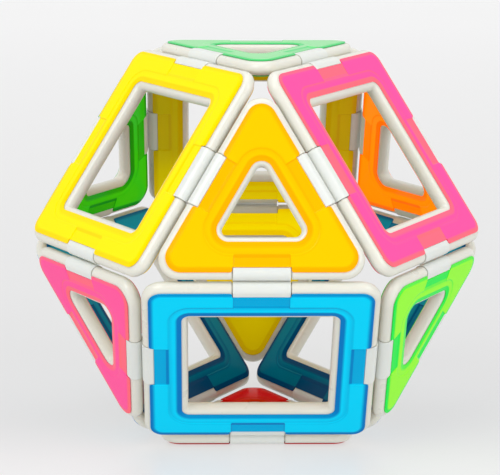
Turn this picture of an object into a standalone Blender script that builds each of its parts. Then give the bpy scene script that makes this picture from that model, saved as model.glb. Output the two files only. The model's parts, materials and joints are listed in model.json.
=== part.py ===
"""A ball of fourteen magnetic building tiles: eight triangles and six squares.

Run it with blender --background --python part.py, or from Blender's text editor.
Lengths are in metres, +Z is up, and the ball stands on its base triangle at Z = 0.

Every tile is drawn in its own frame: the middle of one side at the origin, +X along
that side, +Y towards the tile's centre and +Z out of the ball. That side lies on a side
of the tile's parent, folded inwards by FOLD, before the lowest tiles settle.
"""

import math

import bmesh
import bpy
from mathutils import Matrix, Vector

MM = 0.001

# The ball: the tiles meet along the edges of a cuboctahedron. The base tile hangs a little
# low, and the three squares on it lean in over its rims.
PITCH = 64.0 * MM
FOLD = math.acos(1 / math.sqrt(3))
BASE_DROP = 0.85 * MM
LEAN = math.radians(0.8)

# The frame: a ring with half-round rims, and a magnet sleeve in the middle of each side.
# Sizes that differ between the triangle and the square are keyed by the number of sides.
RIM_RADIUS = 1.9 * MM
SLEEVE_RADIUS = 2.15 * MM
SLEEVE_LENGTH = 15.1 * MM
SLEEVE_DEPTH = 3.5 * MM
SLEEVE_GAP = 0.25 * MM
RIM_LINE = (SLEEVE_RADIUS + SLEEVE_GAP / 2) / math.cos(FOLD / 2)
RIM_CORNER = 3.5 * MM
WINDOW_LINE = {3: 9.85 * MM, 4: 10.9 * MM}
WINDOW_CORNER = 3.2 * MM

# The magnet: a bar that turns freely in its pocket, slid in from a bay under the cover.
# The bay is cut from above the frame's face.
MAGNET_RADIUS = 1.4 * MM
MAGNET_LENGTH = 13.0 * MM
POCKET_RADIUS = 1.55 * MM
POCKET_LENGTH = 13.6 * MM
BAY_START = 4.1 * MM
BAY_END = 7.3 * MM
BAY_TOP = 2 * RIM_RADIUS

# The covers: thin coloured plates on both faces of the frame, notched round the sleeves.
COVER_GAP = 0.1 * MM
COVER_THICKNESS = 0.4 * MM
COVER_INSET = 2.4 * MM
COVER_CORNER = 3.7 * MM
COVER_WINDOW = {3: 10.35 * MM, 4: 11.0 * MM}
COVER_WINDOW_CORNER = {3: 2.8 * MM, 4: 2.6 * MM}
NOTCH_GAP = 0.15 * MM
KEEPER_GAP = 0.2 * MM
KEEPER_DEPTH = 2.6 * MM

CORNER_STEPS = {3: 4, 4: 3}
ROUND_STEPS = 12
WELD_DISTANCE = 0.001 * MM
SHARP_EDGE = math.radians(35)

HALF_THICKNESS = RIM_RADIUS + COVER_GAP + COVER_THICKNESS

RED = (0.72, 0.02, 0.01)
BLUE = (0.0, 0.42, 0.80)
AMBER = (1.0, 0.55, 0.01)
YELLOW = (1.0, 0.86, 0.0)
PINK = (1.0, 0.09, 0.35)
LIME = (0.30, 0.95, 0.09)
MINT = (0.30, 0.90, 0.35)
GREEN = (0.03, 0.48, 0.02)
ORANGE = (1.0, 0.22, 0.01)
OFF_WHITE = (0.76, 0.74, 0.69)
NICKEL = (0.66, 0.65, 0.62)

BASE_TILE = "base_triangle"

# name, number of sides, parent tile, the parent's side it hangs on, colour, magnets drawn
TILES = (
    ("base_triangle", 3, None, None, RED, False),
    ("front_square", 4, "base_triangle", 0, BLUE, True),
    ("rear_left_square", 4, "base_triangle", 1, BLUE, False),
    ("rear_right_square", 4, "base_triangle", 2, BLUE, False),
    ("front_triangle", 3, "front_square", 2, AMBER, True),
    ("right_triangle", 3, "front_square", 1, LIME, False),
    ("left_triangle", 3, "front_square", 3, PINK, False),
    ("right_square", 4, "front_triangle", 1, PINK, True),
    ("left_square", 4, "front_triangle", 2, YELLOW, True),
    ("top_triangle", 3, "right_square", 3, MINT, True),
    ("rear_right_triangle", 3, "rear_right_square", 2, ORANGE, False),
    ("rear_left_triangle", 3, "rear_left_square", 2, GREEN, False),
    ("rear_triangle", 3, "rear_left_square", 3, YELLOW, False),
    ("rear_square", 4, "rear_triangle", 1, YELLOW, False),
)


# ---------------------------------------------------------------- outlines in the tile's plane


def apothem(sides):
    """Distance from the tile's centre to a hinge line."""
    return PITCH / 2 / math.tan(math.pi / sides)


def side_angle(sides, side):
    """Direction in which this side faces. Side 0 is the hinge and faces -Y."""
    return -math.pi / 2 + side * 2 * math.pi / sides


def side_point(sides, side, along, inset):
    """Point at this distance along a side from its middle, and inwards from its hinge line."""
    angle = side_angle(sides, side)
    outward = Vector((math.cos(angle), math.sin(angle)))
    tangent = Vector((-outward.y, outward.x))
    return Vector((0, apothem(sides))) + outward * (apothem(sides) - inset) + tangent * along


def corner_arc(sides, side, inset, radius):
    """Rounded corner between this side and the next one."""
    half_turn = math.pi / sides
    middle = side_angle(sides, side) + half_turn
    reach = (apothem(sides) - inset - radius) / math.cos(half_turn)
    centre = Vector((0, apothem(sides))) + reach * Vector((math.cos(middle), math.sin(middle)))
    steps = CORNER_STEPS[sides]
    points = []
    for step in range(steps + 1):
        angle = middle - half_turn + step * 2 * half_turn / steps
        points.append(centre + radius * Vector((math.cos(angle), math.sin(angle))))
    return points


def rounded_outline(sides, inset, radius):
    points = []
    for side in range(sides):
        points += corner_arc(sides, side, inset, radius)
    return points


def notched_outline(sides, inset, radius, notch_half, notch_inset):
    points = []
    for side in range(sides):
        points.append(side_point(sides, side, -notch_half, inset))
        points.append(side_point(sides, side, -notch_half, notch_inset))
        points.append(side_point(sides, side, notch_half, notch_inset))
        points.append(side_point(sides, side, notch_half, inset))
        points += corner_arc(sides, side, inset, radius)
    return points


# ---------------------------------------------------------------- meshes


def flat_solid(name, outlines, half_thickness, rim_radius=0.0):
    """Mesh of a filled flat curve: the first outline is the edge, the others are holes."""
    curve = bpy.data.curves.new(name, "CURVE")
    curve.dimensions = "2D"
    curve.fill_mode = "BOTH"
    curve.extrude = half_thickness - rim_radius
    curve.bevel_depth = rim_radius
    curve.bevel_resolution = 1
    for outline in outlines:
        spline = curve.splines.new("POLY")
        spline.points.add(len(outline) - 1)
        for point, place in zip(spline.points, outline):
            point.co = (place.x, place.y, 0, 1)
        spline.use_cyclic_u = True
    guide = bpy.data.objects.new(name, curve)
    bpy.context.scene.collection.objects.link(guide)
    mesh = evaluated_mesh(guide, name)
    bpy.data.objects.remove(guide)
    bpy.data.curves.remove(curve)
    return mesh


def evaluated_mesh(obj, name):
    """New mesh of the object with its modifiers applied and its loose seams welded."""
    graph = bpy.context.evaluated_depsgraph_get()
    mesh = bpy.data.meshes.new_from_object(obj.evaluated_get(graph))
    mesh.name = name
    shape = bmesh.new()
    shape.from_mesh(mesh)
    bmesh.ops.remove_doubles(shape, verts=shape.verts, dist=WELD_DISTANCE)
    bmesh.ops.recalc_face_normals(shape, faces=shape.faces)
    shape.to_mesh(mesh)
    shape.free()
    return mesh


def box_mesh(name, low, high):
    size = Vector(high) - Vector(low)
    middle = (Vector(high) + Vector(low)) / 2
    mesh = bpy.data.meshes.new(name)
    shape = bmesh.new()
    bmesh.ops.create_cube(shape, matrix=Matrix.Translation(middle) @ Matrix.Diagonal((*size, 1)))
    shape.to_mesh(mesh)
    shape.free()
    return mesh


def rod_mesh(name, radius, length):
    """Cylinder along X, centred on the origin."""
    mesh = bpy.data.meshes.new(name)
    shape = bmesh.new()
    bmesh.ops.create_cone(
        shape,
        cap_ends=True,
        segments=ROUND_STEPS,
        radius1=radius,
        radius2=radius,
        depth=length,
        matrix=Matrix.Rotation(math.pi / 2, 4, "Y"),
    )
    shape.to_mesh(mesh)
    shape.free()
    return mesh


def combined(name, base_mesh, tools):
    """Mesh of the base with each (operation, mesh, matrix) tool joined to it or cut from it."""
    base = bpy.data.objects.new(name, base_mesh)
    bpy.context.scene.collection.objects.link(base)
    helpers = []
    for operation, mesh, matrix in tools:
        helper = bpy.data.objects.new(name + "_tool", mesh)
        bpy.context.scene.collection.objects.link(helper)
        helper.matrix_world = matrix
        helpers.append(helper)
        boolean = base.modifiers.new(operation.lower(), "BOOLEAN")
        boolean.operation = operation
        boolean.object = helper
    bpy.context.view_layer.update()
    mesh = evaluated_mesh(base, name)
    for helper in helpers:
        bpy.data.objects.remove(helper)
    bpy.data.objects.remove(base)
    return mesh


def side_matrix(sides, side, inset=0.0):
    """Frame at the middle of a side: +X along it and +Y towards the tile's centre."""
    place = side_point(sides, side, 0, inset)
    turn = side_angle(sides, side) + math.pi / 2
    return Matrix.Translation((place.x, place.y, 0)) @ Matrix.Rotation(turn, 4, "Z")


def half_round(radius):
    """Outer half of a circle about the rim line, from its top round to its bottom."""
    points = []
    steps = ROUND_STEPS // 2
    for step in range(steps + 1):
        angle = math.pi / 2 + step * math.pi / steps
        points.append(Vector((RIM_LINE + radius * math.cos(angle), radius * math.sin(angle))))
    return points


def side_prism(name, profile, length):
    """Section drawn across a side, X inwards and Y out of the tile, swept along the side."""
    mesh = flat_solid(name, (profile,), length / 2)
    mesh.transform(Matrix(((0, 0, 1, 0), (1, 0, 0, 0), (0, 1, 0, 0), (0, 0, 0, 1))))
    return mesh


def frame_mesh(sides):
    """Ring with a sleeve in the middle of each side, and in it a pocket and its loading bay."""
    ring = flat_solid(
        "ring",
        (
            rounded_outline(sides, RIM_LINE, RIM_CORNER),
            rounded_outline(sides, WINDOW_LINE[sides], WINDOW_CORNER),
        ),
        RIM_RADIUS,
        RIM_RADIUS,
    )
    sleeve_profile = half_round(SLEEVE_RADIUS) + [
        Vector((SLEEVE_DEPTH, -SLEEVE_RADIUS)),
        Vector((SLEEVE_DEPTH, SLEEVE_RADIUS)),
    ]
    pocket_profile = half_round(POCKET_RADIUS) + [
        Vector((BAY_END, -POCKET_RADIUS)),
        Vector((BAY_END, BAY_TOP)),
        Vector((BAY_START, BAY_TOP)),
        Vector((BAY_START, POCKET_RADIUS)),
    ]
    sleeve = side_prism("sleeve", sleeve_profile, SLEEVE_LENGTH)
    pocket = side_prism("pocket", pocket_profile, POCKET_LENGTH)
    tools = [("UNION", sleeve, side_matrix(sides, side)) for side in range(sides)]
    tools += [("DIFFERENCE", pocket, side_matrix(sides, side)) for side in range(sides)]
    return combined("frame_%d" % sides, ring, tools)


def cover_mesh(sides, with_keepers):
    """Notched plate lying on the frame's +Z face, with a keeper block behind each magnet."""
    plate = flat_solid(
        "plate",
        (
            notched_outline(
                sides,
                COVER_INSET,
                COVER_CORNER,
                SLEEVE_LENGTH / 2 + NOTCH_GAP,
                SLEEVE_DEPTH + NOTCH_GAP,
            ),
            rounded_outline(sides, COVER_WINDOW[sides], COVER_WINDOW_CORNER[sides]),
        ),
        COVER_THICKNESS / 2,
    )
    middle = RIM_RADIUS + COVER_GAP + COVER_THICKNESS / 2
    plate.transform(Matrix.Translation((0, 0, middle)))
    if not with_keepers:
        return plate
    half = POCKET_LENGTH / 2 - KEEPER_GAP
    keeper = box_mesh(
        "keeper",
        (-half, BAY_START + KEEPER_GAP, middle - KEEPER_DEPTH),
        (half, BAY_END - KEEPER_GAP, middle),
    )
    tools = [("UNION", keeper, side_matrix(sides, side)) for side in range(sides)]
    return combined("cover_%d" % sides, plate, tools)


# ---------------------------------------------------------------- the material


def principled(name, colour, roughness, metallic):
    material = bpy.data.materials.new(name)
    material.use_nodes = True
    shader = material.node_tree.nodes["Principled BSDF"]
    shader.inputs["Base Color"].default_value = (*colour, 1)
    shader.inputs["Roughness"].default_value = roughness
    shader.inputs["Metallic"].default_value = metallic
    material.diffuse_color = (*colour, 1)
    return material


# ---------------------------------------------------------------- the assembly


def base_matrix():
    """The base triangle faces down, with its hinge side to the front."""
    turned = Matrix(((-1, 0, 0, 0), (0, 1, 0, 0), (0, 0, -1, 0), (0, 0, 0, 1)))
    return Matrix.Translation((0, -apothem(3), HALF_THICKNESS + BASE_DROP)) @ turned


def folded_matrix(parent_matrix, parent_sides, parent_side):
    """Frame of a tile hinged on a side of its parent, folded inwards."""
    outward = side_matrix(parent_sides, parent_side) @ Matrix.Rotation(math.pi, 4, "Z")
    return parent_matrix @ outward @ Matrix.Rotation(-FOLD, 4, "X")


def settled(tile, parent, matrix):
    """The tile's place at rest, and how far beyond its own side its hinge line lies.

    The base sinks. Its squares lean in from their far side, and each of them turns on the
    line where its plane meets the base's.
    """
    if tile == BASE_TILE:
        return Matrix.Translation((0, 0, -BASE_DROP)) @ matrix, 0.0
    if parent != BASE_TILE:
        return matrix, 0.0
    far_side = Matrix.Translation((0, PITCH, 0))
    leaning = matrix @ far_side @ Matrix.Rotation(LEAN, 4, "X") @ far_side.inverted()
    far_side_height = BASE_DROP + PITCH * math.sin(FOLD)
    return leaning, far_side_height / math.sin(FOLD - LEAN) - PITCH


def add_piece(collection, name, mesh, look, parent, matrix):
    """Object on its parent empty. Its mesh is shared, so its own material is on the object."""
    piece = bpy.data.objects.new(name, mesh)
    collection.objects.link(piece)
    piece.parent = parent
    piece.matrix_local = matrix
    piece.material_slots[0].link = "OBJECT"
    piece.material_slots[0].material = principled(name + "_material", *look)


def build():
    for obj in list(bpy.data.objects):
        bpy.data.objects.remove(obj)
    collection = bpy.data.collections.new("magnetic_tile_ball")
    bpy.context.scene.collection.children.link(collection)

    frames = {sides: frame_mesh(sides) for sides in (3, 4)}
    outer_covers = {sides: cover_mesh(sides, True) for sides in (3, 4)}
    inner_covers = {sides: cover_mesh(sides, False) for sides in (3, 4)}
    magnet = rod_mesh("magnet", MAGNET_RADIUS, MAGNET_LENGTH)
    for mesh in (*frames.values(), *outer_covers.values(), *inner_covers.values(), magnet):
        mesh.materials.clear()
        mesh.materials.append(None)
        mesh.shade_smooth()
        mesh.set_sharp_from_angle(angle=SHARP_EDGE)

    # A look is a colour, a roughness and how metallic the piece is.
    frame_look = (OFF_WHITE, 0.3, 0.0)
    magnet_look = (NICKEL, 0.25, 1.0)
    turned_in = Matrix.Rotation(math.pi, 4, "Y")
    matrices = {}
    sides_of = {}
    for name, sides, parent, parent_side, colour, shows_magnets in TILES:
        if parent is None:
            matrix = base_matrix()
        else:
            matrix = folded_matrix(matrices[parent], sides_of[parent], parent_side)
        matrices[name] = matrix
        sides_of[name] = sides
        place, setback = settled(name, parent, matrix)
        hinge = bpy.data.objects.new(name + "_hinge", None)
        collection.objects.link(hinge)
        hinge.matrix_world = place @ Matrix.Translation((0, -setback, 0))
        seat = Matrix.Translation((0, setback, 0))
        cover_look = (colour, 0.12, 0.0)
        add_piece(collection, name + "_frame", frames[sides], frame_look, hinge, seat)
        add_piece(collection, name + "_outer_cover", outer_covers[sides], cover_look, hinge, seat)
        inner_name = name + "_inner_cover"
        add_piece(collection, inner_name, inner_covers[sides], cover_look, hinge, seat @ turned_in)
        if not shows_magnets:
            continue
        for side in range(sides):
            pocket = seat @ side_matrix(sides, side, RIM_LINE)
            magnet_name = "%s_magnet_%d" % (name, side + 1)
            add_piece(collection, magnet_name, magnet, magnet_look, hinge, pocket)


build()
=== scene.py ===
"""Looks of the magnetic tile ball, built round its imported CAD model.

Every tile is made of the same few mouldings: a frame, two coloured covers, and in the
middle of each side a sleeve with a bar magnet in it. Each moulding is one mesh for the
triangles and one for the squares, drawn flat with the tile's centre at the origin, the
hinge side towards -Y and the outside of the ball towards +Z. Lengths are in metres.
"""

import json
import math
from collections import namedtuple

import bmesh
import bpy
import numpy as np
from mathutils import Matrix, Vector
from mathutils.geometry import delaunay_2d_cdt

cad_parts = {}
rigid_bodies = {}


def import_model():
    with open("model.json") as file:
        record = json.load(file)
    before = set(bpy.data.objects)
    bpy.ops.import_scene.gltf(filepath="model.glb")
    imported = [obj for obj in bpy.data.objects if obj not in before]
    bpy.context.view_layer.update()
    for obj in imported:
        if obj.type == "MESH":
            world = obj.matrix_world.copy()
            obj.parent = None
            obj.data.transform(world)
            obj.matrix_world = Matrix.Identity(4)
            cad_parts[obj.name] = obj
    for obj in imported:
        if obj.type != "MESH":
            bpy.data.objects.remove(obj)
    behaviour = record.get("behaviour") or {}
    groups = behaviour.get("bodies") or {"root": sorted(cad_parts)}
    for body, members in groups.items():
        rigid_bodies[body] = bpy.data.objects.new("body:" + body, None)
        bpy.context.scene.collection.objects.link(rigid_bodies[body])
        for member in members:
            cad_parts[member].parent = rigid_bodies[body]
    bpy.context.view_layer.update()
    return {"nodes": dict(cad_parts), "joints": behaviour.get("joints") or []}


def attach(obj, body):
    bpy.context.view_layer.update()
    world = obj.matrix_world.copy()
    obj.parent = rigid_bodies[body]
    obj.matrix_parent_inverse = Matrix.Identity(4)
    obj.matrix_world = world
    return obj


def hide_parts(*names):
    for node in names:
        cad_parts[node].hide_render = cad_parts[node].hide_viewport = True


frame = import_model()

MM = 0.001
HINGES = {joint["child"]: joint for joint in frame["joints"] if not joint.get("continuous")}
ROOT_TILE = "base_triangle"


def hinge_place(tile):
    return Vector(HINGES[tile]["pos_m"])


# The two squares above the front triangle hang on it, half a side apart.
PITCH = 2 * (hinge_place("right_square") - hinge_place("left_square")).length
BALL_CENTRE = Vector((0, 0, hinge_place("front_triangle").z))

# The frame's section: a half-round rim outside, and a flatter round edge at the window. Lines
# and insets are measured inwards from a tile's hinge lines. Sizes that differ between the
# triangle and the square are keyed by the number of sides.
RIM_RADIUS = 1.9 * MM
RIM_LINE = 2.56 * MM
RIM_CORNER = 3.5 * MM
WINDOW_START = {3: 10.45 * MM, 4: 11.15 * MM}
WINDOW_ROUND = {3: 1.3 * MM, 4: 1.65 * MM}
WINDOW_CORNER = {3: 3.0 * MM, 4: 2.2 * MM}

# The sleeve clipped over the rim, the groove at each of its ends, and the bar magnet in the
# slot behind it.
SLEEVE_RADIUS = 2.15 * MM
SLEEVE_WALL = 0.22 * MM
SLEEVE_LENGTH = 15.1 * MM
SLEEVE_DEPTH = 3.5 * MM
SLEEVE_BEVEL = 0.1 * MM
GROOVE_WIDTH = 0.32 * MM
GROOVE_RADIUS = 1.45 * MM
GROOVE_REACH = 1.0 * MM
GROOVE_BEVEL = 0.01 * MM
SLOT_RADIUS = 1.55 * MM
SLOT_LENGTH = 13.6 * MM
SLOT_BEVEL = 0.1 * MM
MAGNET_RADIUS = 1.4 * MM
MAGNET_LENGTH = 13.0 * MM
MAGNET_BEVEL = 0.15 * MM

# The cover: a plate with raised corners, a lower band round the window and a low pad behind
# each sleeve. The contour is the step down to the band, and a strip of the band's height lies
# between it and a pad. Levels are above the tile's middle plane.
COVER_UNDERSIDE = 2.0 * MM
CORNER_LEVEL = 2.4 * MM
BAND_LEVEL = 2.33 * MM
PAD_LEVEL = 2.2 * MM
COVER_INSET = 2.3 * MM
COVER_CORNER = {3: 4.0 * MM, 4: 3.5 * MM}
CHAMFER_WIDTH = 1.45 * MM
CHAMFER_DROP = 0.2 * MM
COVER_WINDOW = {3: 10.35 * MM, 4: 11.05 * MM}
COVER_WINDOW_CORNER = {3: 3.1 * MM, 4: 2.3 * MM}
CONTOUR_INSET = {3: 7.0 * MM, 4: 7.65 * MM}
CONTOUR_CORNER = {3: 6.5 * MM, 4: 5.7 * MM}
STEP_WIDTH = 0.35 * MM
PAD_STRIP = 0.9 * MM
NOTCH_GAP = 0.15 * MM
NOTCH_CORNER = 0.7 * MM

# How deep the cover's colour is, from 0 on its face to 1 at its edges. At the edge and at
# the window it fades out between these shares of the chamfer's width.
EDGE_FADE = (0.4, 1.2)
WINDOW_FADE = (0.75, 1.3)
WALL_TONE = 0.9
CONTOUR_TONE = 0.3

# How finely curves are drawn, and the gap under which two places are the same.
ARC_STEPS = {3: 16, 4: 12}
RIM_STEPS = 14
NOTCH_STEPS = 4
SLOT_STEPS = 24
MAGNET_STEPS = 32
SAME_PLACE = 0.0001 * MM

# How far up a face's normal points where the face lies nearly in the tile's plane.
NEARLY_FLAT = 0.9


# ---------------------------------------------------------------- outlines in the tile's plane


def apothem(sides):
    """Distance from the tile's centre to a hinge line."""
    return PITCH / 2 / math.tan(math.pi / sides)


def outward_angle(sides, side):
    """Direction in which this side faces. Side 0 is the hinge and faces -Y."""
    return -math.pi / 2 + side * 2 * math.pi / sides


def unit(angle):
    return np.array([math.cos(angle), math.sin(angle)])


def side_place(sides, side, along, inset):
    """Point at this distance along a side from its middle, and inwards from its hinge line."""
    outward = unit(outward_angle(sides, side))
    tangent = np.array([-outward[1], outward[0]])
    return outward * (apothem(sides) - inset) + tangent * along


def rounded_loop(sides, inset, radius):
    """Outline at this inset from the hinge lines, with rounded corners."""
    half_turn = math.pi / sides
    steps = ARC_STEPS[sides]
    points = []
    for side in range(sides):
        middle = outward_angle(sides, side) + half_turn
        centre = unit(middle) * (apothem(sides) - inset - radius) / math.cos(half_turn)
        for step in range(steps + 1):
            angle = middle - half_turn + step * 2 * half_turn / steps
            points.append(centre + radius * unit(angle))
    return points


def side_insets(points, sides):
    """Each point's distance inwards from each hinge line, and along each side from its middle."""
    insets = []
    alongs = []
    for side in range(sides):
        outward = unit(outward_angle(sides, side))
        insets.append(apothem(sides) - points @ outward)
        alongs.append(points @ np.array([-outward[1], outward[0]]))
    return np.array(insets), np.array(alongs)


def depth_inside(points, sides, inset, radius):
    """Distance inwards from the rounded outline at this inset. It is negative outside."""
    core = inset + radius
    insets, alongs = side_insets(points, sides)
    half_side = (apothem(sides) - core) * math.tan(math.pi / sides)
    over = np.maximum(np.abs(alongs) - half_side, 0)
    to_core = np.hypot(core - insets, over).min(axis=0)
    nearest = insets.min(axis=0)
    return np.where(nearest >= core, nearest - inset, radius - to_core)


def smooth_step(value, start, end):
    share = np.clip((value - start) / (end - start), 0, 1)
    return share * share * (3 - 2 * share)


# ---------------------------------------------------------------- meshes


def finished_mesh(name, shape, sharp_angle=35, flat_crease=35):
    """Mesh of the bmesh, smooth except at edges sharper than the angle.

    The flat crease is the limit between two faces that both lie nearly in the tile's plane.
    """
    bmesh.ops.recalc_face_normals(shape, faces=shape.faces)
    for face in shape.faces:
        face.smooth = True
    for edge in shape.edges:
        flat = all(abs(face.normal.z) > NEARLY_FLAT for face in edge.link_faces)
        limit = math.radians(flat_crease if flat else sharp_angle)
        edge.smooth = edge.is_manifold and edge.calc_face_angle(0) < limit
    mesh = bpy.data.meshes.new(name)
    shape.to_mesh(mesh)
    shape.free()
    mesh.materials.append(None)
    return mesh


def loft(loops, closed, capped):
    """Skin over loops of equal length. A closed loft joins the last loop to the first."""
    shape = bmesh.new()
    rows = [[shape.verts.new(point) for point in loop] for loop in loops]
    count = len(rows[0])
    for index in range(len(rows) if closed else len(rows) - 1):
        row = rows[index]
        following = rows[(index + 1) % len(rows)]
        for step in range(count):
            after = (step + 1) % count
            shape.faces.new((row[step], row[after], following[after], following[step]))
    if capped:
        shape.faces.new(rows[0])
        shape.faces.new(reversed(rows[-1]))
    return shape


def cut(name, mesh, cutters):
    """Mesh with each (mesh, matrix) cutter taken out of it."""
    base = bpy.data.objects.new(name, mesh)
    bpy.context.scene.collection.objects.link(base)
    tools = []
    for cutter, matrix in cutters:
        tool = bpy.data.objects.new(name + "_cutter", cutter)
        bpy.context.scene.collection.objects.link(tool)
        tool.matrix_world = matrix
        tools.append(tool)
        boolean = base.modifiers.new("cut", "BOOLEAN")
        boolean.operation = "DIFFERENCE"
        boolean.object = tool
    bpy.context.view_layer.update()
    graph = bpy.context.evaluated_depsgraph_get()
    result = bpy.data.meshes.new_from_object(base.evaluated_get(graph))
    for tool in tools:
        bpy.data.objects.remove(tool)
    bpy.data.objects.remove(base)
    shape = bmesh.new()
    shape.from_mesh(result)
    bmesh.ops.remove_doubles(shape, verts=shape.verts, dist=SAME_PLACE)
    bpy.data.meshes.remove(result)
    return finished_mesh(name, shape)


def side_matrix(sides, side):
    """Frame on a side's rim line: +X along the side and +Y towards the tile's centre."""
    place = side_place(sides, side, 0, RIM_LINE)
    turn = outward_angle(sides, side) + math.pi / 2
    return Matrix.Translation((place[0], place[1], 0)) @ Matrix.Rotation(turn, 4, "Z")


def swept_shape(length, bevel, section):
    """Solid swept along X. The section is a function of how far the bevel has shrunk it."""
    half = length / 2
    loops = []
    for place, shrink in ((-half, bevel), (-half + bevel, 0), (half - bevel, 0), (half, bevel)):
        loops.append([(place, across, up) for across, up in section(shrink)])
    return loft(loops, closed=False, capped=True)


def clip_section(outer_radius, inner_radius, depth):
    """C-shaped section open towards the tile's centre, as (inwards, up) about the rim line."""
    reach = depth - RIM_LINE
    section = [(reach, outer_radius)]
    for step in range(RIM_STEPS + 1):
        angle = math.pi / 2 + step * math.pi / RIM_STEPS
        section.append((outer_radius * math.cos(angle), outer_radius * math.sin(angle)))
    section += [(reach, -outer_radius), (reach, -inner_radius)]
    for step in range(RIM_STEPS + 1):
        angle = 3 * math.pi / 2 - step * math.pi / RIM_STEPS
        section.append((inner_radius * math.cos(angle), inner_radius * math.sin(angle)))
    section.append((reach, inner_radius))
    return section


def clip_shape(length, outer_radius, inner_radius, depth, bevel):
    """Clip over the rim along X, with its outer edges bevelled at both ends."""
    return swept_shape(
        length, bevel, lambda shrink: clip_section(outer_radius - shrink, inner_radius, depth)
    )


def rod_shape(length, radius, bevel, steps):
    """Rod along X with bevelled ends."""
    angles = [2 * math.pi * step / steps for step in range(steps)]
    return swept_shape(
        length, bevel, lambda shrink: [unit(angle) * (radius - shrink) for angle in angles]
    )


def ring_section(sides):
    """The frame's section all round, as (inset, height, corner radius) of its outlines."""
    section = []
    for step in range(RIM_STEPS + 1):
        angle = -math.pi / 2 + step * math.pi / RIM_STEPS
        out = RIM_RADIUS * math.cos(angle)
        section.append((RIM_LINE - out, RIM_RADIUS * math.sin(angle), RIM_CORNER + out))
    for step in range(RIM_STEPS + 1):
        angle = math.pi / 2 - step * math.pi / RIM_STEPS
        across = WINDOW_ROUND[sides] * math.cos(angle)
        inset = WINDOW_START[sides] + across
        section.append((inset, RIM_RADIUS * math.sin(angle), WINDOW_CORNER[sides] - across))
    return section


def frame_mesh(sides):
    """The white ring, with a slot for each magnet and a groove at each end of its sleeve."""
    loops = []
    for inset, height, radius in ring_section(sides):
        loops.append([(x, y, height) for x, y in rounded_loop(sides, inset, radius)])
    ring = finished_mesh("frame_%d_ring" % sides, loft(loops, closed=True, capped=False))

    slot_shape = rod_shape(SLOT_LENGTH, SLOT_RADIUS, SLOT_BEVEL, SLOT_STEPS)
    slot = finished_mesh("slot", slot_shape)
    groove_depth = SLEEVE_DEPTH + NOTCH_GAP
    groove_shape = clip_shape(
        GROOVE_WIDTH, RIM_RADIUS + GROOVE_REACH, GROOVE_RADIUS, groove_depth, GROOVE_BEVEL
    )
    groove = finished_mesh("groove", groove_shape)
    cutters = []
    for side in range(sides):
        seat = side_matrix(sides, side)
        cutters.append((slot, seat))
        for end in (-1, 1):
            shift = Matrix.Translation((end * (SLEEVE_LENGTH + GROOVE_WIDTH) / 2, 0, 0))
            cutters.append((groove, seat @ shift))
    return cut("frame_%d" % sides, ring, cutters)


# ---------------------------------------------------------------- the cover's mesh


def cover_outline(sides):
    """The cover's outer edge, notched round the sleeves."""
    notch_half = SLEEVE_LENGTH / 2 + NOTCH_GAP
    notch_inset = SLEEVE_DEPTH + NOTCH_GAP
    corner = rounded_loop(sides, COVER_INSET, COVER_CORNER[sides])
    corner_points = len(corner) // sides
    points = []
    for side in range(sides):
        notch = []
        for step in range(NOTCH_STEPS + 1):
            turn = step * math.pi / 2 / NOTCH_STEPS
            along = notch_half + NOTCH_CORNER * (1 - math.sin(turn))
            notch.append((along, COVER_INSET + NOTCH_CORNER * (1 - math.cos(turn))))
        notch.append((notch_half, notch_inset))
        points += [side_place(sides, side, -along, inset) for along, inset in notch]
        points += [side_place(sides, side, along, inset) for along, inset in reversed(notch)]
        points += corner[side * corner_points : (side + 1) * corner_points]
    return points


def on_cover(points, sides):
    """Whether each point lies on the cover, not in its window, its notches or outside it."""
    insets, alongs = side_insets(points, sides)
    notch = (np.abs(alongs) < SLEEVE_LENGTH / 2 + NOTCH_GAP) & (insets < SLEEVE_DEPTH + NOTCH_GAP)
    outline = depth_inside(points, sides, COVER_INSET, COVER_CORNER[sides]) > 0
    window = depth_inside(points, sides, COVER_WINDOW[sides], COVER_WINDOW_CORNER[sides]) > 0
    return outline & ~window & ~notch.any(axis=0)


def past_pad_end(points, sides):
    """Distance along the nearest side past the end of its pad. It is negative on the pad."""
    insets, alongs = side_insets(points, sides)
    nearest = insets < insets.min(axis=0) + SAME_PLACE
    return np.where(nearest, np.abs(alongs) - SLEEVE_LENGTH / 2, math.inf).min(axis=0)


def cover_heights(from_edge, from_window, from_contour, past_pad):
    """Height of the cover's face above the tile's middle plane."""
    in_band = smooth_step(from_contour, -STEP_WIDTH / 2, STEP_WIDTH / 2)
    before_pad_end = 1 - np.clip((from_contour + PAD_STRIP) / PAD_STRIP, 0, 1)
    across_pad = 1 - smooth_step(past_pad, -STEP_WIDTH, 0)
    in_pad = across_pad * before_pad_end
    heights = CORNER_LEVEL + in_band * (BAND_LEVEL - CORNER_LEVEL)
    heights = np.where(across_pad > 0.5, BAND_LEVEL, heights)
    heights = heights + in_pad * (PAD_LEVEL - heights)
    chamfer = 1 - np.clip(np.minimum(from_edge, from_window) / CHAMFER_WIDTH, 0, 1)
    return heights - CHAMFER_DROP * chamfer * (1 - in_pad)


def fading(distance, shares):
    """1 at an outline, falling to 0 between these shares of the chamfer's width from it."""
    start, end = (CHAMFER_WIDTH * share for share in shares)
    return 1 - smooth_step(distance, start, end)


def cover_tones(from_edge, from_window, from_contour, past_pad):
    """How deep the cover's colour is, and whether the point is on the flat of a pad."""
    tone = np.maximum(fading(from_edge, EDGE_FADE), fading(from_window, WINDOW_FADE))
    on_contour = np.abs(from_contour) < STEP_WIDTH
    tone = np.where(on_contour & (tone < CONTOUR_TONE), CONTOUR_TONE, tone)
    quarter = STEP_WIDTH / 4
    on_pad = (past_pad < -quarter) & (from_contour < 0)
    at_end = (past_pad < -quarter) & (past_pad > -3 * quarter)
    on_wall = at_end | (from_contour > quarter - PAD_STRIP)
    tone = np.where(on_pad, np.where(on_wall, WALL_TONE, 0), tone)
    return tone, on_pad & ~on_wall


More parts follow.
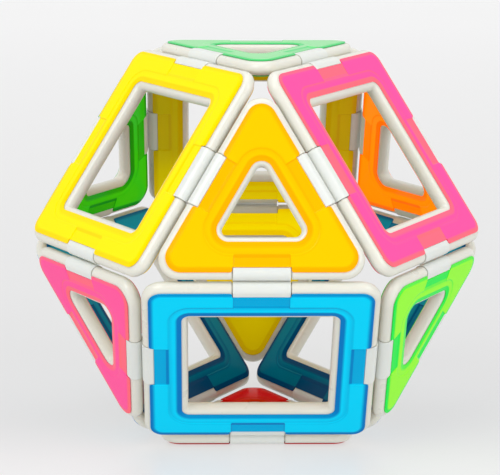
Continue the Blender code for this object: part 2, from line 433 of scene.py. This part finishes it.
def cover_lines(sides):
    """Points and edges of the cover's outlines and feature lines, for the triangulation."""
    points = []
    edges = []

    def add_loop(loop):
        first = len(points)
        points.extend(Vector(point) for point in loop)
        for index in range(len(loop)):
            edges.append((first + index, first + (index + 1) % len(loop)))

    add_loop(cover_outline(sides))
    window = COVER_WINDOW[sides]
    window_corner = COVER_WINDOW_CORNER[sides]
    add_loop(rounded_loop(sides, window, window_corner))
    for share in (*EDGE_FADE, 1.0):
        width = CHAMFER_WIDTH * share
        add_loop(rounded_loop(sides, COVER_INSET + width, COVER_CORNER[sides] - width))
    for share in (*WINDOW_FADE, 1.0):
        width = CHAMFER_WIDTH * share
        add_loop(rounded_loop(sides, window - width, window_corner + width))
    contour = CONTOUR_INSET[sides]
    for shift in (-PAD_STRIP, STEP_WIDTH / 2 - PAD_STRIP, -STEP_WIDTH / 2, STEP_WIDTH / 2):
        add_loop(rounded_loop(sides, contour + shift, CONTOUR_CORNER[sides] - shift))
    half = SLEEVE_LENGTH / 2
    for side in range(sides):
        for end in (-1, 1):
            for along in (half - STEP_WIDTH, half - STEP_WIDTH / 2, half):
                first = len(points)
                for inset in (SLEEVE_DEPTH, contour + STEP_WIDTH / 2):
                    points.append(Vector(side_place(sides, side, end * along, inset)))
                edges.append((first, first + 1))
    return points, edges


def cover_mesh(sides):
    """Plate whose face has a height and a tone at each point, over a flat underside."""
    points, edges = cover_lines(sides)
    flat, _, faces, _, _, _ = delaunay_2d_cdt(points, edges, [], 0, SAME_PLACE)
    places = np.array([tuple(point) for point in flat])
    distances = (
        depth_inside(places, sides, COVER_INSET, COVER_CORNER[sides]),
        -depth_inside(places, sides, COVER_WINDOW[sides], COVER_WINDOW_CORNER[sides]),
        depth_inside(places, sides, CONTOUR_INSET[sides], CONTOUR_CORNER[sides]),
        past_pad_end(places, sides),
    )
    heights = cover_heights(*distances)
    tones, on_pads = cover_tones(*distances)

    shape = bmesh.new()
    tone_layer = shape.verts.layers.float.new("tone")
    pad_layer = shape.verts.layers.float.new("pad")
    top = []
    under = []
    for place, height, tone, on_pad in zip(places, heights, tones, on_pads):
        vert = shape.verts.new((place[0], place[1], height))
        vert[tone_layer] = tone
        vert[pad_layer] = on_pad
        top.append(vert)
        vert = shape.verts.new((place[0], place[1], COVER_UNDERSIDE))
        vert[tone_layer] = 1
        under.append(vert)
    centres = np.array([places[list(face)].mean(axis=0) for face in faces])
    for face, kept in zip(faces, on_cover(centres, sides)):
        if kept:
            shape.faces.new([top[index] for index in face])
            shape.faces.new([under[index] for index in reversed(face)])
    numbers = {vert: index for index, vert in enumerate(top)}
    for edge in [edge for edge in shape.edges if edge.is_boundary]:
        if all(vert in numbers for vert in edge.verts):
            start, end = (numbers[vert] for vert in edge.verts)
            shape.faces.new((top[start], top[end], under[end], under[start]))
    loose = [vert for vert in shape.verts if not vert.link_faces]
    bmesh.ops.delete(shape, geom=loose, context="VERTS")
    return finished_mesh("cover_%d" % sides, shape, sharp_angle=20, flat_crease=4)


# ---------------------------------------------------------------- materials


class Nodes:
    """Short way to add and link the nodes of a new material."""

    def __init__(self, name):
        self.material = bpy.data.materials.new(name)
        self.material.use_nodes = True
        self.tree = self.material.node_tree
        self.shader = self.tree.nodes["Principled BSDF"]

    def add(self, kind, inputs=None, **settings):
        node = self.tree.nodes.new(kind)
        for name, value in settings.items():
            setattr(node, name, value)
        for name, value in (inputs or {}).items():
            self.set(node.inputs[name], value)
        return node

    def set(self, socket, value):
        if isinstance(value, bpy.types.NodeSocket):
            self.tree.links.new(value, socket)
        else:
            socket.default_value = value

    def shade(self, **inputs):
        for name, value in inputs.items():
            self.set(self.shader.inputs[name.replace("_", " ")], value)

    def place(self):
        """Place on the piece, in its own space."""
        return self.add("ShaderNodeTexCoord").outputs["Object"]

    def geometry(self, output):
        return self.add("ShaderNodeNewGeometry").outputs[output]

    def attribute(self, name):
        return self.add("ShaderNodeAttribute", attribute_name=name).outputs["Fac"]

    def maths(self, operation, first, second=0, **settings):
        node = self.add("ShaderNodeMath", {0: first, 1: second}, operation=operation, **settings)
        return node.outputs[0]

    def vector_math(self, operation, first, second):
        return self.add("ShaderNodeVectorMath", {0: first, 1: second}, operation=operation)

    def component(self, vector, axis):
        return self.add("ShaderNodeSeparateXYZ", {0: vector}).outputs[axis]

    def turned(self, vector, kind, start, end):
        """Vector or normal carried from one space to another."""
        node = self.add(
            "ShaderNodeVectorTransform",
            {"Vector": vector},
            vector_type=kind,
            convert_from=start,
            convert_to=end,
        )
        return node.outputs[0]

    def ranged(self, value, low, high, start=0.0, end=1.0, **settings):
        """Value carried from start..end to low..high, and held beyond."""
        inputs = {"Value": value, "From Min": start, "From Max": end, "To Min": low, "To Max": high}
        return self.add("ShaderNodeMapRange", inputs, **settings).outputs[0]

    def mixed(self, share, first, second):
        node = self.add("ShaderNodeMix", data_type="RGBA")
        self.set(node.inputs["Factor"], share)
        self.set(node.inputs["A"], first)
        self.set(node.inputs["B"], second)
        return node.outputs["Result"]

    def bump(self, height, strength, distance):
        inputs = {"Height": height, "Strength": strength, "Distance": distance}
        return self.add("ShaderNodeBump", inputs).outputs[0]

    def noise(self, scale, detail):
        """Noise in the piece's own space, shifted on each piece so that no two look alike."""
        chance = self.add("ShaderNodeObjectInfo").outputs["Random"]
        shifted = self.vector_math("ADD", self.place(), chance).outputs[0]
        inputs = {"Vector": shifted, "Scale": scale, "Detail": detail}
        return self.add("ShaderNodeTexNoise", inputs).outputs["Fac"]


def white_plastic(name, colour, shadow_colour, roughness):
    """Glossy moulded plastic, slightly cloudy, with a faint ripple left by the mould."""
    nodes = Nodes(name)
    cloud = nodes.ranged(nodes.noise(scale=60, detail=3), 0, 0.5)
    wear = nodes.noise(scale=150, detail=4)
    ripple = nodes.noise(scale=900, detail=2)
    nodes.shade(
        Base_Color=nodes.mixed(cloud, colour, shadow_colour),
        Roughness=nodes.ranged(wear, roughness - 0.05, roughness + 0.08),
        Subsurface_Weight=0.25,
        Subsurface_Radius=(1.0, 0.8, 0.6),
        Subsurface_Scale=1.0 * MM,
        Coat_Weight=0.3,
        Coat_Roughness=0.08,
        Normal=nodes.bump(ripple, strength=0.06, distance=0.02 * MM),
    )
    return nodes.material


def nickel(name):
    """Bright plating with fine turning marks round the bar."""
    nodes = Nodes(name)
    inputs = {"Vector": nodes.place(), "Scale": 1500, "Distortion": 2.0}
    marks = nodes.add("ShaderNodeTexWave", inputs, bands_direction="X").outputs["Fac"]
    nodes.shade(
        Base_Color=(0.66, 0.65, 0.62, 1),
        Metallic=1.0,
        Roughness=nodes.ranged(nodes.noise(scale=300, detail=3), 0.18, 0.32),
        Normal=nodes.bump(marks, strength=0.1, distance=0.01 * MM),
    )
    return nodes.material


# Painted light and shade on the cover's slopes: a chamfer that leans this far up towards the
# light shows this much less of the deeper colour, as painted light, and one that leans as far
# down shows as much more, as painted shade.
FULL_SLOPE = 0.15
SLOPE_PAINTED_SHADE = 0.3

# Inside the ball: the height where most light comes through, shown as a painted glow, how far
# from it that reaches, the height below which the colours get deeper as painted shade, and how
# much deeper at the floor.
INSIDE_PEAK = BALL_CENTRE.z - 0.1 * PITCH
INSIDE_REACH = 0.4 * PITCH
INSIDE_LOW = 0.45 * PITCH
INSIDE_LOW_SHADE = 0.6


def upturned(nodes):
    """How far a slope on the cover turns towards the light above, negative if it turns away. The
    cover uses it to paint light on slopes that turn up and shade on slopes that turn down.
    """
    local = nodes.turned(nodes.geometry("Normal"), "NORMAL", "WORLD", "OBJECT")
    slope = nodes.vector_math("MULTIPLY", local, (1, 1, 0)).outputs[0]
    up = nodes.component(nodes.turned(slope, "VECTOR", "OBJECT", "WORLD"), "Z")
    return nodes.ranged(up, -SLOPE_PAINTED_SHADE, SLOPE_PAINTED_SHADE, -FULL_SLOPE, FULL_SLOPE)


def inside_painted_light_and_shade(nodes, plastic):
    """Painted shade: deeper colour low in the ball; and painted light: a glow that stands in for
    the light that comes through its tiles.

    The light is strongest just under half-way up, where the windows on all sides let it in.
    """
    height = nodes.component(nodes.geometry("Position"), "Z")
    low_shade = nodes.ranged(height, INSIDE_LOW_SHADE, 0, 0, INSIDE_LOW)
    away = nodes.maths("ABSOLUTE", nodes.maths("SUBTRACT", height, INSIDE_PEAK))
    glow = nodes.ranged(away, plastic.middle_glow, plastic.glow, 0, INSIDE_REACH)
    return low_shade, glow


def cover_plastic(name, plastic, inside):
    """Coloured plastic: its colour is deeper at the chamfers, the pads and at a slant. Painted
    light and shade make it lighter on slopes that turn up and deeper on slopes that turn down.
    Inside the ball, painted shade dims it and deepens it low down, and a painted glow lights it.
    """
    nodes = Nodes(name)
    pad_tone = nodes.ranged(nodes.attribute("pad"), 0, plastic.pad_tone)
    cloud = nodes.ranged(nodes.noise(scale=35, detail=2), -0.06, 0.12)
    facing = nodes.add("ShaderNodeLayerWeight", {"Blend": 0.25}).outputs["Facing"]
    slant = nodes.ranged(facing, 0, 0.5)
    depth = nodes.maths("ADD", nodes.attribute("tone"), pad_tone)
    depth = nodes.maths("ADD", depth, cloud)
    # Painted light and shade: lighter on slopes that turn up, deeper on slopes that turn down.
    depth = nodes.maths("SUBTRACT", depth, upturned(nodes))
    share = 1
    if inside:
        # Painted shade deepens the colour low in the ball, and a painted glow lights the inner
        # plates.
        low_shade, glow = inside_painted_light_and_shade(nodes, plastic)
        depth = nodes.maths("ADD", depth, low_shade)
        share = plastic.inner_share
    depth = nodes.maths("MAXIMUM", depth, slant, use_clamp=True)
    # Inside the ball both colours are dimmed by the plastic's share, as painted shade.
    colour = nodes.mixed(depth, dimmed(plastic.face, share), dimmed(plastic.deep, share))
    ripple = nodes.noise(scale=500, detail=2)
    nodes.shade(
        Base_Color=colour,
        Roughness=nodes.ranged(nodes.noise(scale=120, detail=3), 0.1, 0.2),
        Specular_IOR_Level=0.05,
        Normal=nodes.bump(ripple, strength=0.05, distance=0.02 * MM),
    )
    # Painted light: the inner plates glow in their own colour.
    if inside:
        nodes.shade(Emission_Color=colour, Emission_Strength=glow)
    return nodes.material


def srgb(red, green, blue):
    """Linear colour of an 8-bit sRGB one."""
    linear = []
    for value in (red, green, blue):
        share = value / 255
        linear.append(share / 12.92 if share <= 0.04045 else ((share + 0.055) / 1.055) ** 2.4)
    return (*linear, 1)


def dimmed(colour, share):
    return (*(value * share for value in colour[:3]), 1)


# Each plastic: the face of a cover, its deeper colour at the edges and how much of that shows
# on the pads. Inside the ball: how much of its colour is left under painted shade, and how
# strongly it glows as painted light, standing in for light that comes through the tile, near
# the floor or the top, and half-way up.
Plastic = namedtuple("Plastic", "face deep pad_tone inner_share glow middle_glow")
COLOURS = {
    "red": Plastic(srgb(230, 15, 3), srgb(190, 4, 2), 0.55, 0.85, 0.3, 0.3),
    "blue": Plastic(srgb(0, 218, 255), srgb(0, 120, 192), 0.55, 0.33, 0.02, 0.45),
    "amber": Plastic(srgb(255, 189, 0), srgb(255, 165, 0), 0.55, 0.8, 0.1, 0.1),
    "yellow": Plastic(srgb(255, 230, 0), srgb(249, 210, 0), 0.25, 0.7, 0.1, 0.75),
    "pink": Plastic(srgb(255, 72, 162), srgb(255, 105, 120), 0.9, 0.9, 0.1, 0.1),
    "lime": Plastic(srgb(165, 255, 0), srgb(15, 235, 70), 1.0, 0.9, 0.1, 0.1),
    "mint": Plastic(srgb(152, 228, 155), srgb(60, 205, 108), 0.55, 0.9, 0.1, 0.1),
    "green": Plastic(srgb(50, 220, 20), srgb(0, 150, 8), 0.55, 0.9, 0.3, 0.3),
    "orange": Plastic(srgb(255, 140, 5), srgb(255, 105, 0), 0.55, 1.0, 0.6, 0.6),
}
TILE_COLOURS = {
    "base_triangle": "red",
    "front_square": "blue",
    "rear_left_square": "blue",
    "rear_right_square": "blue",
    "front_triangle": "amber",
    "right_triangle": "lime",
    "left_triangle": "pink",
    "right_square": "pink",
    "left_square": "yellow",
    "top_triangle": "mint",
    "rear_right_triangle": "orange",
    "rear_left_triangle": "green",
    "rear_triangle": "yellow",
    "rear_square": "yellow",
}


# ---------------------------------------------------------------- the tiles


def side_count(tile):
    return 3 if tile.endswith("triangle") else 4


def placed(centre, along, outward):
    """Place of a tile from its centre, the direction of its hinge and its outward one."""
    matrix = Matrix((along, outward.cross(along), outward)).transposed().to_4x4()
    matrix.translation = centre
    return matrix


def far_side(square):
    """Middle of the side opposite a lower square's own hinge, where a triangle hangs on it."""
    own = Vector(HINGES[square]["axis"])
    for tile, hinge in HINGES.items():
        if hinge["parent"] == square and abs(own.dot(Vector(hinge["axis"]))) > 0.99:
            return hinge_place(tile)


def tile_matrices():
    """Place of each tile, from the CAD's hinges: centre, X along its hinge, Z out of the ball.

    A square on the base triangle is flat with it at its hinge's limit, so it is turned back
    from there. Any other tile's centre is the point of its plane nearest to the ball's centre.
    """
    down = Vector((0, 0, -1))
    front = HINGES["front_square"]
    base_centre = Vector((0, 0, front["pos_m"][2]))
    matrices = {ROOT_TILE: placed(base_centre, -Vector(front["axis"]), down)}
    for tile, hinge in HINGES.items():
        along = Vector(hinge["axis"])
        if hinge["parent"] == ROOT_TILE:
            outward = Matrix.Rotation(-math.radians(hinge["range_deg"][1]), 3, along) @ down
            centre = far_side(tile) - outward.cross(along) * apothem(4)
        else:
            reach = hinge_place(tile) - BALL_CENTRE
            across = apothem(side_count(tile))
            out = math.sqrt(reach.length_squared - across**2)
            outward = (reach * out + reach.cross(along) * across) / reach.length_squared
            centre = BALL_CENTRE + outward * out
        matrices[tile] = placed(centre, along, outward)
    return matrices


def add_piece(name, mesh, material, matrix, body, stands_for=()):
    piece = bpy.data.objects.new(name, mesh)
    bpy.context.scene.collection.objects.link(piece)
    piece.material_slots[0].link = "OBJECT"
    piece.material_slots[0].material = material
    piece.matrix_world = matrix
    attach(piece, body)
    if stands_for:
        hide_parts(*stands_for)


def build_tiles():
    frames = {sides: frame_mesh(sides) for sides in (3, 4)}
    covers = {sides: cover_mesh(sides) for sides in (3, 4)}
    inner_radius = SLEEVE_RADIUS - SLEEVE_WALL
    sleeve_shape = clip_shape(
        SLEEVE_LENGTH, SLEEVE_RADIUS, inner_radius, SLEEVE_DEPTH, SLEEVE_BEVEL
    )
    sleeve = finished_mesh("sleeve", sleeve_shape)
    magnet_shape = rod_shape(MAGNET_LENGTH, MAGNET_RADIUS, MAGNET_BEVEL, MAGNET_STEPS)
    magnet = finished_mesh("magnet", magnet_shape)

    frame_white = white_plastic("frame_white", srgb(223, 222, 211), srgb(213, 211, 198), 0.28)
    sleeve_white = white_plastic("sleeve_white", srgb(227, 229, 222), srgb(217, 219, 211), 0.3)
    plating = nickel("magnet_plating")
    paints = {}
    for colour, plastic in COLOURS.items():
        for face in ("outer", "inner"):
            name = "%s_%s_plastic" % (colour, face)
            paints[colour, face] = cover_plastic(name, plastic, inside=face == "inner")

    faces = {"outer": Matrix.Identity(4), "inner": Matrix.Rotation(math.pi, 4, "Y")}
    for tile, matrix in tile_matrices().items():
        sides = side_count(tile)
        node = tile + "_frame"
        add_piece(tile + "_ring", frames[sides], frame_white, matrix, tile, [node])
        for face, turn in faces.items():
            node = "%s_%s_cover" % (tile, face)
            name = "%s_%s_plate" % (tile, face)
            paint = paints[TILE_COLOURS[tile], face]
            add_piece(name, covers[sides], paint, matrix @ turn, tile, [node])
        for side in range(sides):
            seat = matrix @ side_matrix(sides, side)
            number = side + 1
            add_piece("%s_sleeve_%d" % (tile, number), sleeve, sleeve_white, seat, tile)
            node = "%s_magnet_%d" % (tile, number)
            name = "%s_bar_%d" % (tile, number)
            if node in frame["nodes"]:
                add_piece(name, magnet, plating, seat, node, [node])
            else:
                add_piece(name, magnet, plating, seat, tile)


# ---------------------------------------------------------------- the studio

ROOM_LIGHT = 0.62
ROOM_REFLECTION = 0.1

# Softboxes: place, width, height and power. The low ones light glossy plastic but don't
# show in it.
LOW_LAMP_HEIGHT = 0.3
LAMPS = {
    "key": ((-0.55, -0.8, 1.0), 0.7, 0.7, 5.6),
    "fill": ((0.8, -0.7, 0.6), 0.7, 0.7, 3.5),
    "top": ((0.0, 0.1, 1.2), 0.9, 0.9, 3.5),
    "low_left": ((-0.9, -0.8, 0.22), 0.7, LOW_LAMP_HEIGHT, 3.2),
    "low_right": ((0.9, -0.8, 0.22), 0.7, LOW_LAMP_HEIGHT, 2.3),
}

# The floor's sheet: its level, where it starts in front, where it bends up behind the ball,
# and how far it reaches to the sides and up.
FLOOR_LEVEL = -0.05 * MM
FLOOR_START = -3.0
FLOOR_BEND = 1.2
FLOOR_RADIUS = 0.8
FLOOR_HALF_WIDTH = 4.0
FLOOR_TOP = 4.0
FLOOR_STEPS = 16

# Painted light: a glow from the sheet, which also keeps the ball's shadow on it light: near,
# and far behind the ball, with the places where each is reached. In front of the ball lies a
# brighter painted pool of light with a soft edge.
FLOOR_GLOW = (0.46, 0.6)
FLOOR_GLOW_PLACES = (-0.2, 1.0)
PAINTED_POOL_GLOW = 0.11
POOL_CENTRE = (0, -0.22, 0)
POOL_EDGE = (0.17, 0.25)

# The camera: angles in degrees, lens and sensor in millimetres, and place from the ball's
# centre in tile pitches.
CAMERA_YAW = 1.292
CAMERA_PITCH = -11.64
CAMERA_ROLL = 0.252
CAMERA_LENS = 173.2
CAMERA_SENSOR = 36
CAMERA_SHIFT = (0.0012, 0.0026)
CAMERA_CLIP = 0.01
CAMERA_PLACE = (-0.2660, -10.3856, 2.1416)


def add_light(name, place, width, height, power):
    """Softbox at a place, turned towards the ball."""
    light = bpy.data.lights.new(name, "AREA")
    light.shape = "RECTANGLE"
    light.size = width
    light.size_y = height
    light.energy = power
    lamp = bpy.data.objects.new(name, light)
    bpy.context.scene.collection.objects.link(lamp)
    lamp.location = place
    lamp.rotation_euler = (BALL_CENTRE - Vector(place)).to_track_quat("-Z", "Y").to_euler()
    lamp.visible_glossy = height > LOW_LAMP_HEIGHT


def floor_paper():
    """Pale sheet that glows as painted light, brighter far back and in a pool in front of the ball.
    It can't be seen from below.
    """
    nodes = Nodes("floor_paper")
    place = nodes.place()
    # Painted light: the glow rises towards the back, and a painted pool of light brightens the
    # floor in front of the ball.
    back = nodes.ranged(nodes.component(place, "Y"), *FLOOR_GLOW, *FLOOR_GLOW_PLACES)
    away = nodes.vector_math("DISTANCE", place, POOL_CENTRE).outputs["Value"]
    pool = nodes.ranged(away, PAINTED_POOL_GLOW, 0, *POOL_EDGE, interpolation_type="SMOOTHSTEP")
    nodes.shade(
        Base_Color=(0.2, 0.2, 0.2, 1),
        Roughness=0.35,
        Specular_IOR_Level=0.25,
        Emission_Color=(1, 1, 1, 1),
        Emission_Strength=nodes.maths("ADD", back, pool),
    )
    below = nodes.geometry("Backfacing")
    clear = nodes.add("ShaderNodeBsdfTransparent").outputs[0]
    sheet = nodes.add("ShaderNodeMixShader", {0: below, 1: nodes.shader.outputs[0], 2: clear})
    nodes.set(nodes.tree.nodes["Material Output"].inputs["Surface"], sheet.outputs[0])
    return nodes.material


def add_floor():
    """Sheet that curves up behind the ball."""
    profile = [(FLOOR_START, FLOOR_LEVEL), (FLOOR_BEND, FLOOR_LEVEL)]
    for step in range(1, FLOOR_STEPS + 1):
        angle = step * math.pi / 2 / FLOOR_STEPS
        back = FLOOR_BEND + FLOOR_RADIUS * math.sin(angle)
        profile.append((back, FLOOR_LEVEL + FLOOR_RADIUS * (1 - math.cos(angle))))
    profile.append((FLOOR_BEND + FLOOR_RADIUS, FLOOR_TOP))
    shape = bmesh.new()
    rows = []
    for side in (-FLOOR_HALF_WIDTH, FLOOR_HALF_WIDTH):
        rows.append([shape.verts.new((side, y, z)) for y, z in profile])
    for index in range(len(profile) - 1):
        shape.faces.new((rows[0][index], rows[1][index], rows[1][index + 1], rows[0][index + 1]))
    mesh = finished_mesh("floor", shape)
    mesh.flip_normals()
    mesh.materials[0] = floor_paper()
    floor = bpy.data.objects.new("floor", mesh)
    bpy.context.scene.collection.objects.link(floor)


def add_world():
    """Even light from all round. The dark side of the room is what the front faces reflect."""
    world = bpy.data.worlds.new("studio")
    bpy.context.scene.world = world
    world.use_nodes = True
    tree = world.node_tree
    backdrop = tree.nodes["Background"]
    backdrop.inputs["Color"].default_value = (0.98, 0.98, 1.0, 1)
    ray = tree.nodes.new("ShaderNodeLightPath")
    strength = tree.nodes.new("ShaderNodeMapRange")
    strength.inputs["To Min"].default_value = ROOM_LIGHT
    strength.inputs["To Max"].default_value = ROOM_REFLECTION
    tree.links.new(ray.outputs["Is Glossy Ray"], strength.inputs["Value"])
    tree.links.new(strength.outputs[0], backdrop.inputs["Strength"])


def add_camera():
    """Camera at the photograph's viewing angle."""
    yaw = math.radians(CAMERA_YAW)
    pitch = math.radians(CAMERA_PITCH)
    roll = math.radians(CAMERA_ROLL)
    lens = bpy.data.cameras.new("camera")
    lens.sensor_width = CAMERA_SENSOR
    lens.lens = CAMERA_LENS
    lens.shift_x, lens.shift_y = CAMERA_SHIFT
    lens.clip_start = CAMERA_CLIP
    camera = bpy.data.objects.new("camera", lens)
    bpy.context.scene.collection.objects.link(camera)
    forward = Vector(
        (math.sin(yaw) * math.cos(pitch), math.cos(yaw) * math.cos(pitch), math.sin(pitch))
    )
    level_right = Vector((math.cos(yaw), -math.sin(yaw), 0))
    level_up = level_right.cross(forward)
    right = level_right * math.cos(roll) + level_up * math.sin(roll)
    up = right.cross(forward)
    matrix = Matrix((right, up, -forward)).transposed().to_4x4()
    matrix.translation = BALL_CENTRE + PITCH * Vector(CAMERA_PLACE)
    camera.matrix_world = matrix
    bpy.context.scene.camera = camera


def build_studio():
    add_floor()
    add_world()
    add_camera()
    for name, lamp in LAMPS.items():
        add_light(name, *lamp)
    bpy.context.scene.view_settings.view_transform = "Standard"


build_tiles()
build_studio()
